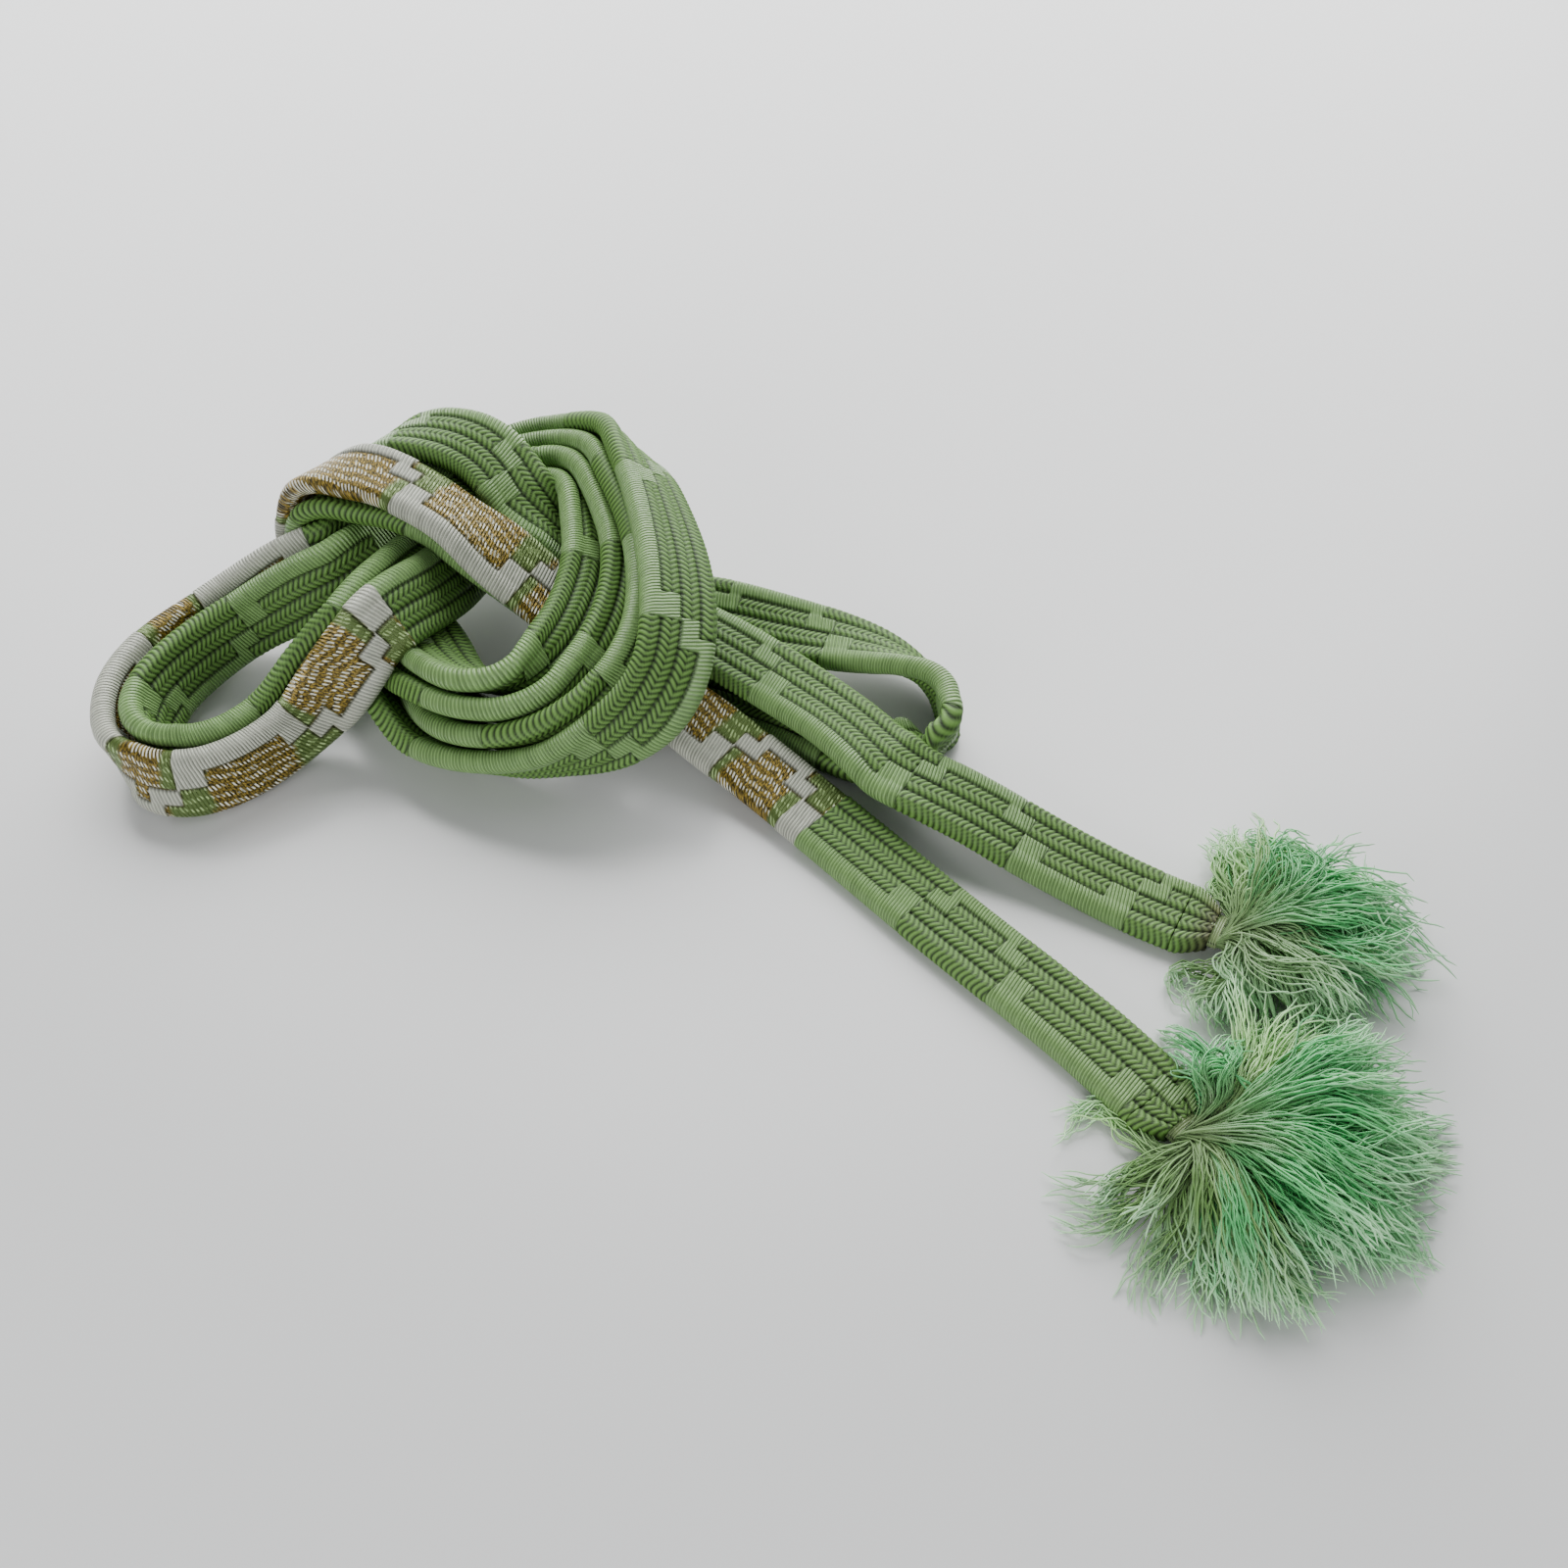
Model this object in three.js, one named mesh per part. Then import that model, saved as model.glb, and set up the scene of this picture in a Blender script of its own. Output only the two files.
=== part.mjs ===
import * as THREE from "three";

// A flat braided silk cord with a tassel at each end, tied in one loose overhand knot.
// Millimetres, Z up, resting on the plane z = 0.

// The cord's route from one neck to the other, by named stretch. Each station is
// [x, y, z, heading, lean]: the cord's centre, then the way its broad face points
// across, as a compass heading and a lean in degrees.
const ROUTE = {
  tail_a: [
    [51, -10.5, 1.15, 50, 0], [45, -7.5, 1.15, 50, 0], [39.5, -4, 2, 50, 0], [32.8, -0.1, 3, 48, 0],
    [23.2, 6.7, 5.8, 44, -3], [13.3, 15.2, 5.8, 42, -5], [5, 22.5, 5.5, 40, 0],
  ],
  over_a: [
    [-3, 28, 7, 35, 0], [-8, 31, 7, 40, -5], [-16, 37, 8, 40, -5], [-23, 42, 11, 45, -5],
    [-29, 46, 16.2, 45, -5], [-32, 51, 18.7, 45, 0], [-36, 52.5, 20.7, 45, 5],
  ],
  turn_a: [
    [-40.5, 53.7, 21.5, 45, 5], [-44.5, 53.2, 21, 45, 5], [-49, 52.2, 19.5, 45, 5], [-52, 50.5, 15, 45, 0],
    [-52.5, 50, 9.5, 45, -10], [-50.5, 47.5, 5.5, 40, -10], [-47.5, 42, 4, 40, -15], [-44, 34.5, 3.5, 45, -15],
    [-42, 27.5, 4, 50, -20], [-39, 18.89, 5.5, 60, -35],
  ],
  coil_a: [
    [-34.5, 11.6, 7, 70, -45], [-29, 10.1, 8, 80, -50], [-23.5, 10.1, 9, 85, -60], [-18.5, 10.6, 10.5, 90, -85],
    [-14.5, 12.6, 12, -50, -60], [-11.5, 16, 15, -25, -40], [-9.5, 21.31, 17, -10, -30], [-9.5, 27.5, 18, 0, -25],
    [-10.5, 33, 18.5, 5, -30], [-12.5, 39.5, 18, 20, -40], [-16, 46, 17.5, 30, -50], [-20.5, 52, 15.5, 40, -65],
    [-26, 55.5, 13.5, 35, -80], [-31.5, 55, 12, -5, -85], [-37, 51.5, 11, -40, -75],
  ],
  inner_loop_far: [
    [-42, 45, 11.5, -45, -70], [-47, 38.5, 12, -50, -70], [-52.5, 34, 12, -55, -80], [-58.5, 34, 9.5, -55, -80],
    [-65, 33, 6.5, -55, -80], [-70.5, 28, 5.5, -55, -70], [-73.5, 23.5, 6, -45, -65], [-75.5, 18.5, 6, -25, -60],
    [-76, 14, 6, 0, -65], [-74.1, 9.7, 6, 20, -80],
  ],
  inner_loop_near: [
    [-71, 8.6, 5.2, -80, -82], [-66.2, 9, 5, -60, -80], [-61.8, 12.2, 5, -50, -80], [-57.6, 16.4, 5.3, -50, -78],
    [-52.9, 20.3, 9, -50, -71], [-47.6, 23.6, 12.6, -45, -66], [-44.2, 27.4, 14.2, -40, -64], [-41.8, 35, 13, -40, -60],
  ],
  coil_b: [
    [-40, 42.5, 11, -40, -60], [-37, 48.5, 11, -40, -70], [-32.5, 51.5, 12.5, -30, -80], [-28, 53, 14, 20, -85],
    [-22.5, 51.5, 15, 40, -75], [-18, 47, 15.5, 30, -55], [-15, 41, 16, 15, -40], [-13.5, 34.5, 16, 5, -35],
    [-13, 28, 15.5, -5, -30], [-14.5, 22.37, 14, -20, -40], [-18.5, 17.15, 12, -50, -70], [-23.5, 13.1, 11, 90, -70],
    [-29, 11.6, 10, 85, -50],
  ],
  turn_b: [
    [-34, 12.6, 9.5, 75, -50], [-39.5, 18.31, 8, 60, -35], [-44, 25.42, 7, 50, -20], [-49, 33, 6.5, 40, -15],
    [-53, 39.5, 7, 40, -15], [-55.5, 44, 9, 40, -15], [-57.5, 46.5, 12, 40, -10], [-56.4, 48.4, 15, 45, -10],
    [-54.9, 48.4, 16.5, 45, -10], [-51.9, 47.9, 17, 45, -10], [-45.9, 45.4, 17.5, 45, -10],
  ],
  under_b: [
    [-39.2, 41.7, 16.5, 45, -12], [-34.2, 38.7, 15, 45, -14], [-29.2, 36.7, 12, 45, -14], [-24.2, 34.1, 8.5, 45, -12],
    [-19.3, 31.5, 5.5, 45, -10],
  ],
  right_loop_near: [
    [-15, 28, 3, 40, -5], [-8, 26, 2, 40, 0], [-0.5, 23.5, 1.5, 35, 0], [6.5, 20, 1.5, 40, 0],
    [13, 14.5, 1.5, 40, 0], [19, 10, 1.5, 50, 0], [23, 10.5, 2.5, 70, -30], [26, 14.5, 4.5, 70, -65],
  ],
  right_loop_far: [
    [26.5, 19, 5, 0, -85], [25.5, 23, 5, 20, -75], [22.5, 26.5, 5, 50, -50], [17, 29.5, 5, 65, -20],
    [11, 31.5, 4.5, 65, 0], [3, 33.5, 5, 60, 15], [-3, 36.5, 4.5, 50, 20], [-8.5, 38.5, 4, 50, 10],
  ],
  under_c: [
    [-16, 39, 4.5, 45, 0], [-23.5, 42.5, 8, 45, -5], [-29.5, 46, 11, 45, -5], [-33.5, 49.5, 15, 45, 0],
    [-37, 51.5, 16.5, 45, 5],
  ],
  turn_c: [
    [-42, 52.5, 17.5, 45, 5], [-47, 51, 17, 45, 5], [-48.5, 49.5, 15.5, 45, 0], [-49.5, 47.5, 12.5, 45, -10],
    [-50, 45, 9.5, 40, -10], [-48, 41.5, 7.5, 40, -15], [-45, 35, 7, 40, -15], [-42.5, 28, 8, 50, -25],
    [-39, 19.47, 10, 60, -40],
  ],
  coil_c: [
    [-35, 14.67, 11.5, 75, -50], [-30, 14.05, 12, 90, -70], [-25, 16.52, 12.5, -50, -70], [-21.5, 22.07, 13, -25, -45],
    [-19, 28.5, 14, -10, -30], [-18.5, 35, 14.5, 0, -35], [-19.5, 42, 15, 10, -40], [-22, 48, 15, 20, -60],
    [-26, 51, 14.5, 30, -80], [-30, 50, 13, -20, -80], [-34.5, 47, 11, -40, -60],
  ],
  outer_loop_near: [
    [-38, 40.5, 10.5, -40, -55], [-40, 32.4, 13.3, -40, -65], [-42.2, 25.5, 14.6, -40, -75], [-45.4, 22, 13.8, -45, -74],
    [-50, 18.1, 9.8, -50, -76], [-55, 14.2, 5.2, -50, -82], [-59.4, 10, 5, -50, -82], [-64, 6.2, 5, -58, -80],
    [-69.4, 4.6, 5, -75, -77],
  ],
  outer_loop_far: [
    [-74.5, 6.5, 5, -120, -80], [-78, 10.5, 5, 0, -75], [-79.5, 15.5, 5, -5, -70], [-79, 21.5, 5.5, -25, -65],
    [-76.5, 27.5, 5.5, -45, -70], [-71.5, 33, 5.5, -55, -80], [-66, 37, 6.5, -55, -80], [-59, 38, 9.5, -55, -80],
    [-52.5, 39.5, 12, -55, -80], [-47, 43.5, 12, -50, -75],
  ],
  coil_d: [
    [-41.5, 49, 12, -45, -75], [-36.5, 55.5, 11, -30, -80], [-31.5, 58.5, 11.5, 0, -90], [-26, 59, 13, 35, -85],
    [-21, 55, 15.5, 40, -70], [-16, 48, 18.5, 35, -50], [-12, 40.5, 20.5, 20, -40], [-9.5, 32.5, 21.5, 10, -30],
    [-8, 25, 21.5, 0, -25], [-7.5, 19, 20.5, -5, -25], [-7.5, 13.79, 18.5, -10, -30], [-9, 10.57, 15.5, -30, -40],
    [-13, 9.1, 12, -50, -70], [-18.5, 9.1, 9, -80, -90], [-24, 9.6, 7, 90, -60],
  ],
  turn_d: [
    [-30, 10.6, 5.5, 80, -50], [-36, 12.6, 5, 70, -40], [-41, 17.94, 4.5, 60, -30], [-46, 25.5, 3.5, 50, -20],
    [-50, 33, 3, 40, -15], [-54.5, 40, 3.5, 40, -15], [-57.5, 45.5, 5, 40, -15], [-59, 48, 8.5, 40, -10],
    [-58.5, 49, 13.5, 45, -10], [-56, 48, 18, 45, -10],
  ],
  over_d: [
    [-51.5, 46.3, 20.8, 45, -10], [-46, 44.3, 21.3, 45, -10], [-40, 39.8, 20.3, 45, -10], [-35, 37.3, 18.3, 45, -10],
    [-30, 34.8, 15.8, 45, -10], [-25.5, 32.8, 12.3, 45, -10], [-20.5, 29.3, 9.3, 45, -10],
  ],
  tail_b: [
    [-14.5, 24.5, 6.5, 40, -5], [-8.6, 19.4, 4.5, 40, -5], [-2.3, 14.6, 3, 40, 0], [5.2, 7.7, 2, 40, 0],
    [11.3, 1.8, 1.15, 45, 0], [21.3, -9.2, 1.15, 45, 0], [33.2, -21.3, 1.15, 45, 0], [40.8, -29.2, 1.15, 45, 0],
    [45, -35, 1.15, 40, 0],
  ],
};

const WIDTH = 9.1;          // braid, pressed
const THICK = 2.3;
const ROUNDING = 0.8;       // corner of the braid's section
const STEP = 2.6;           // ring spacing along the cord
const FINE = 24;            // samples per span while measuring the route
const GAP = 0.3;            // between neighbouring sub-parts
const HALF_FLAT = 3.3;      // half of the section's flat part, for contact
const CONTACT = 3.3;        // how near two stretches' middle lines may lie
const SETTLE_ROUNDS = 300;
const HOLD = 0.01;          // pull back towards the given route, per round
const EASE = 1.6;
const NEIGHBOUR_REACH = 13;
const SAME_STRETCH = 14;    // nearer than this along the cord is not a contact
const REST_SNAP = 0.05;      // lower than this counts as lying on the table
const CENTRE = new THREE.Vector3(0.87, -2.32, 0);

const rad = THREE.MathUtils.degToRad;
const mix = (a, b, f) => a.clone().lerp(b, f);

function station([x, y, z, heading, lean]) {
  const h = rad(heading), l = rad(lean);
  return {
    p: new THREE.Vector3(x, y, z),
    w: new THREE.Vector3(Math.cos(h) * Math.cos(l), Math.sin(h) * Math.cos(l), Math.sin(l)),
  };
}

function knots(points) {
  const u = [0];
  for (let i = 1; i < points.length; i++) u.push(u[i - 1] + Math.sqrt(points[i].distanceTo(points[i - 1])));
  return u;
}

function slopes(values, u) {
  const last = values.length - 1;
  return values.map((v, i) => {
    if (i === 0) return values[1].clone().sub(v).divideScalar(u[1] - u[0]);
    if (i === last) return v.clone().sub(values[i - 1]).divideScalar(u[i] - u[i - 1]);
    const before = u[i] - u[i - 1], after = u[i + 1] - u[i];
    const rise = v.clone().sub(values[i - 1]).multiplyScalar(after / before);
    const fall = values[i + 1].clone().sub(v).multiplyScalar(before / after);
    return rise.add(fall).divideScalar(before + after);
  });
}

function hermite(values, m, u, i, f) {
  const h = u[i + 1] - u[i], f2 = f * f, f3 = f2 * f;
  return values[i].clone().multiplyScalar(2 * f3 - 3 * f2 + 1)
    .addScaledVector(m[i], h * (f3 - 2 * f2 + f))
    .addScaledVector(values[i + 1], 3 * f2 - 2 * f3)
    .addScaledVector(m[i + 1], h * (f3 - f2));
}

// Evenly spaced rings along the route, and the ring where each stretch begins.
function layRoute() {
  const names = Object.keys(ROUTE);
  const stations = names.flatMap((n) => ROUTE[n].map(station));
  const p = stations.map((s) => s.p), w = stations.map((s) => s.w);
  const u = knots(p), mp = slopes(p, u), mw = slopes(w, u);
  const fineP = [], fineW = [];
  for (let i = 0; i < p.length - 1; i++)
    for (let k = 0; k < FINE; k++) {
      fineP.push(hermite(p, mp, u, i, k / FINE));
      fineW.push(hermite(w, mw, u, i, k / FINE));
    }
  fineP.push(p.at(-1)); fineW.push(w.at(-1));
  const along = [0];
  for (let i = 1; i < fineP.length; i++) along.push(along[i - 1] + fineP[i].distanceTo(fineP[i - 1]));
  const count = Math.round(along.at(-1) / STEP);
  const rings = [];
  for (let r = 0, k = 0; r <= count; r++) {
    const s = (r / count) * along.at(-1);
    while (k < along.length - 2 && along[k + 1] < s) k++;
    const f = (s - along[k]) / (along[k + 1] - along[k]);
    rings.push({ p: mix(fineP[k], fineP[k + 1], f), w: mix(fineW[k], fineW[k + 1], f) });
  }
  const starts = [];
  let first = 0;
  for (const n of names) {
    starts.push(Math.round((along[first * FINE] / along.at(-1)) * count));
    first += ROUTE[n].length;
  }
  return { names, rings, starts };
}

// Tangent, and the across direction squared up to it.
function squareUp(rings) {
  const last = rings.length - 1;
  rings.forEach((ring, i) => {
    ring.t = rings[Math.min(i + 1, last)].p.clone().sub(rings[Math.max(i - 1, 0)].p).normalize();
  });
  for (const ring of rings) ring.w.addScaledVector(ring.t, -ring.w.dot(ring.t)).normalize();
}

function smooth(list, times) {
  for (let n = 0; n < times; n++)
    list = list.map((v, i) => (i === 0 || i === list.length - 1) ? v.clone()
      : v.clone().multiplyScalar(0.5).addScaledVector(list[i - 1], 0.25).addScaledVector(list[i + 1], 0.25));
  return list;
}

const clamp = (v) => Math.min(1, Math.max(-1, v));

// Nearest approach of two rings' flat middle lines: a position on each, -1 to 1.
function nearest(a, b) {
  const r = a.p.clone().sub(b.p), A = HALF_FLAT * HALF_FLAT;
  const B = a.w.dot(b.w) * A, c = a.w.dot(r) * HALF_FLAT, f = b.w.dot(r) * HALF_FLAT;
  const den = A * A - B * B;
  let s = den > 1e-4 * A * A ? clamp((B * f - c * A) / den) : 0.5 * clamp(-c / A);
  let q = clamp((B * s + f) / A);
  s = clamp((B * q - c) / A);
  q = clamp((B * s + f) / A);
  return [s, q];
}

function nearPairs(rings) {
  const skip = Math.floor(SAME_STRETCH / rings[0].p.distanceTo(rings[1].p)), pairs = [];
  for (let i = 0; i < rings.length; i++)
    for (let j = i + skip; j < rings.length; j++)
      if (rings[i].p.distanceTo(rings[j].p) < NEIGHBOUR_REACH) pairs.push([i, j]);
  return pairs;
}

const w2 = WIDTH / 2, t2 = THICK / 2, r2 = ROUNDING;
const SECTION = [[w2, -t2 + r2], [w2, t2 - r2], [w2 - r2, t2], [-w2 + r2, t2],
  [-w2, t2 - r2], [-w2, -t2 + r2], [-w2 + r2, -t2], [w2 - r2, -t2]];

// Height of a ring's lowest corner over the table.
function lowest({ p, t, w }) {
  const n = t.clone().cross(w);
  return p.z + Math.min(...SECTION.map(([a, b]) => a * w.z + b * n.z));
}

// Let the stretches press each other apart, and the table hold them up.
function settle(rings) {
  const home = rings.map((r) => ({ p: r.p.clone(), w: r.w.clone() }));
  let pairs = [];
  for (let round = 0; round < SETTLE_ROUNDS; round++) {
    if (round % 10 === 0) pairs = nearPairs(rings);
    squareUp(rings);
    const push = [0, 1].map(() => rings.map(() => new THREE.Vector3()));
    const load = [0, 1].map(() => rings.map(() => 0));
    for (const [i, j] of pairs) {
      const [s, q] = nearest(rings[i], rings[j]);
      const v = rings[i].p.clone().addScaledVector(rings[i].w, s * HALF_FLAT)
        .sub(rings[j].p).addScaledVector(rings[j].w, -q * HALF_FLAT);
      const d = Math.max(v.length(), 1e-3);
      if (d >= CONTACT) continue;
      v.multiplyScalar((CONTACT - d) / 2 / d);
      for (const [k, at, sign] of [[i, s, 1], [j, q, -1]]) {
        const share = [(1 + at) / 2, (1 - at) / 2];
        share.forEach((part, e) => { push[e][k].addScaledVector(v, sign * part); load[e][k] += part; });
      }
    }
    push.forEach((side, e) => side.forEach((v, k) => v.divideScalar(Math.max(load[e][k], 1))));
    const moved = push.map((side) => smooth(side, 3));
    rings.forEach((ring, k) => {
      const ends = [1, -1].map((sign) => ring.p.clone().addScaledVector(ring.w, sign * HALF_FLAT));
      const lift = Math.max(-lowest(ring), 0);
      ends.forEach((end, e) => {
        end.addScaledVector(moved[e][k], EASE);
        end.z += lift;
      });
      ring.p = mix(ends[0], ends[1], 0.5).lerp(home[k].p, HOLD);
      ring.w = ends[0].sub(ends[1]).divideScalar(2 * HALF_FLAT).lerp(home[k].w, HOLD);
    });
    const eased = smooth(rings.map((r) => r.p), 1);
    rings.forEach((ring, k) => ring.p.lerp(eased[k], 0.15));
  }
  squareUp(rings);
  for (const ring of rings) if (lowest(ring) < REST_SNAP) ring.p.z -= lowest(ring);
}

// A closed solid through a list of rings of points, capped at both ends.
function loft(rings) {
  const n = rings[0].length, corners = rings.flat(), faces = [];
  for (let i = 0; i < rings.length - 1; i++)
    for (let k = 0; k < n; k++) {
      const a = i * n + k, b = i * n + (k + 1) % n;
      faces.push(a, b, b + n, a, b + n, a + n);
    }
  const last = (rings.length - 1) * n;
  for (let k = 1; k < n - 1; k++) faces.push(0, k + 1, k, last, last + k, last + k + 1);
  const geometry = new THREE.BufferGeometry();
  geometry.setAttribute("position", new THREE.Float32BufferAttribute(corners.flatMap((v) => v.toArray()), 3));
  geometry.setIndex(faces);
  geometry.computeVertexNormals();
  return geometry;
}

function ringCorners({ p, t, w }, section) {
  const n = t.clone().cross(w);
  return section.map(([a, b]) => p.clone().addScaledVector(w, a).addScaledVector(n, b));
}

function braid(rings) {
  const body = rings.map((r) => ({ ...r, p: r.p.clone() }));
  for (const [end, way] of [[body[0], 1], [body.at(-1), -1]]) {
    const height = end.p.z;
    end.p.addScaledVector(end.t, way * GAP / 2).setZ(height);
  }
  return loft(body.map((r) => ringCorners(r, SECTION)));
}

const MATERIALS = {
  silk: new THREE.MeshStandardMaterial({ name: "silk_green", color: "#8fb98a", roughness: 0.6 }),
  gold: new THREE.MeshStandardMaterial({ name: "silk_gold", color: "#a99a5c", roughness: 0.5 }),
  tie: new THREE.MeshStandardMaterial({ name: "silk_tie", color: "#8a8a5a", roughness: 0.6 }),
  fringe: new THREE.MeshStandardMaterial({ name: "silk_fringe", color: "#8fd3a0", roughness: 0.7 }),
};
const BROCADE = ["outer_loop_near", "outer_loop_far", "over_d"];

const group = new THREE.Group();
group.name = "tasselled_cord";

function add(name, geometry, material) {
  const mesh = new THREE.Mesh(geometry, material.clone());
  mesh.name = name;
  group.add(mesh);
}

// The brown end braid, the tie and the tassel beyond a neck. "outward" points off the cord's end.
const END_LENGTH = 3.2, TIE_LENGTH = 2.4, TIE_WIDTH = 6.4, TIE_THICK = 2.2;
const TASSEL_SIDES = 12, TASSEL_FLOOR = 0.15;

function block(from, out, start, length, width, thick) {
  const at = (d) => ({ p: from.p.clone().addScaledVector(out, start + d), t: out, w: from.w });
  const across = width / WIDTH, deep = thick / THICK;
  const section = SECTION.map(([a, b]) => [a * across, b * deep]);
  return loft([at(0), at(length)].map((r) => ringCorners(r, section)));
}

// Rows along a tassel: [distance, reach to the left, reach to the right, height].
const TASSEL_A = [[0.3, 2.2, 2.2, 2.2], [3, 8, 4, 4], [7, 15, 7, 5.5], [12, 17, 9, 6.5],
  [17, 15, 10, 6], [22, 11, 9, 4.5], [25, 6, 5, 2.5]];
const TASSEL_B = [[0.3, 2.2, 2.2, 2.2], [4, 6, 8, 4], [9, 10, 14, 5.5], [15, 12, 17, 6.5],
  [21, 12, 16, 6.5], [26, 11, 12, 5], [30, 6, 6, 2.5]];

function tassel(neck, heading, rows) {
  const out = new THREE.Vector3(Math.cos(rad(heading)), Math.sin(rad(heading)), 0);
  const left = new THREE.Vector3(-out.y, out.x, 0);
  return loft(rows.map(([d, toLeft, toRight, height]) =>
    Array.from({ length: TASSEL_SIDES }, (_, k) => {
      const angle = (k / TASSEL_SIDES) * 2 * Math.PI, side = Math.cos(angle);
      return new THREE.Vector3(neck.x, neck.y, TASSEL_FLOOR + height * (0.5 + 0.5 * Math.sin(angle)))
        .addScaledVector(out, d).addScaledVector(left, side * (side > 0 ? toLeft : toRight));
    })));
}

const { names, rings, starts } = layRoute();
settle(rings);
names.forEach((name, i) => {
  const end = i + 1 < names.length ? starts[i + 1] : rings.length - 1;
  add(name, braid(rings.slice(starts[i], end + 1)), BROCADE.includes(name) ? MATERIALS.gold : MATERIALS.silk);
});

const ENDS = [["a", rings[0], -1, -5, TASSEL_A], ["b", rings.at(-1), 1, -35, TASSEL_B]];
for (const [letter, ring, sign, heading, rows] of ENDS) {
  const out = ring.t.clone().setZ(0).normalize().multiplyScalar(sign);
  const tieStart = END_LENGTH + 2 * GAP, tasselStart = tieStart + TIE_LENGTH + 2 * GAP;
  add(`end_braid_${letter}`, block(ring, out, GAP, END_LENGTH, WIDTH, THICK), MATERIALS.tie);
  add(`end_tie_${letter}`, block(ring, out, tieStart, TIE_LENGTH, TIE_WIDTH, TIE_THICK), MATERIALS.tie);
  const neck = ring.p.clone().addScaledVector(out, tasselStart);
  add(`tassel_${letter}`, tassel(neck, heading, rows), MATERIALS.fringe);
}

group.children.forEach((mesh) => mesh.geometry.translate(-CENTRE.x, -CENTRE.y, -CENTRE.z));

export default group;
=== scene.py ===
import math

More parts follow.
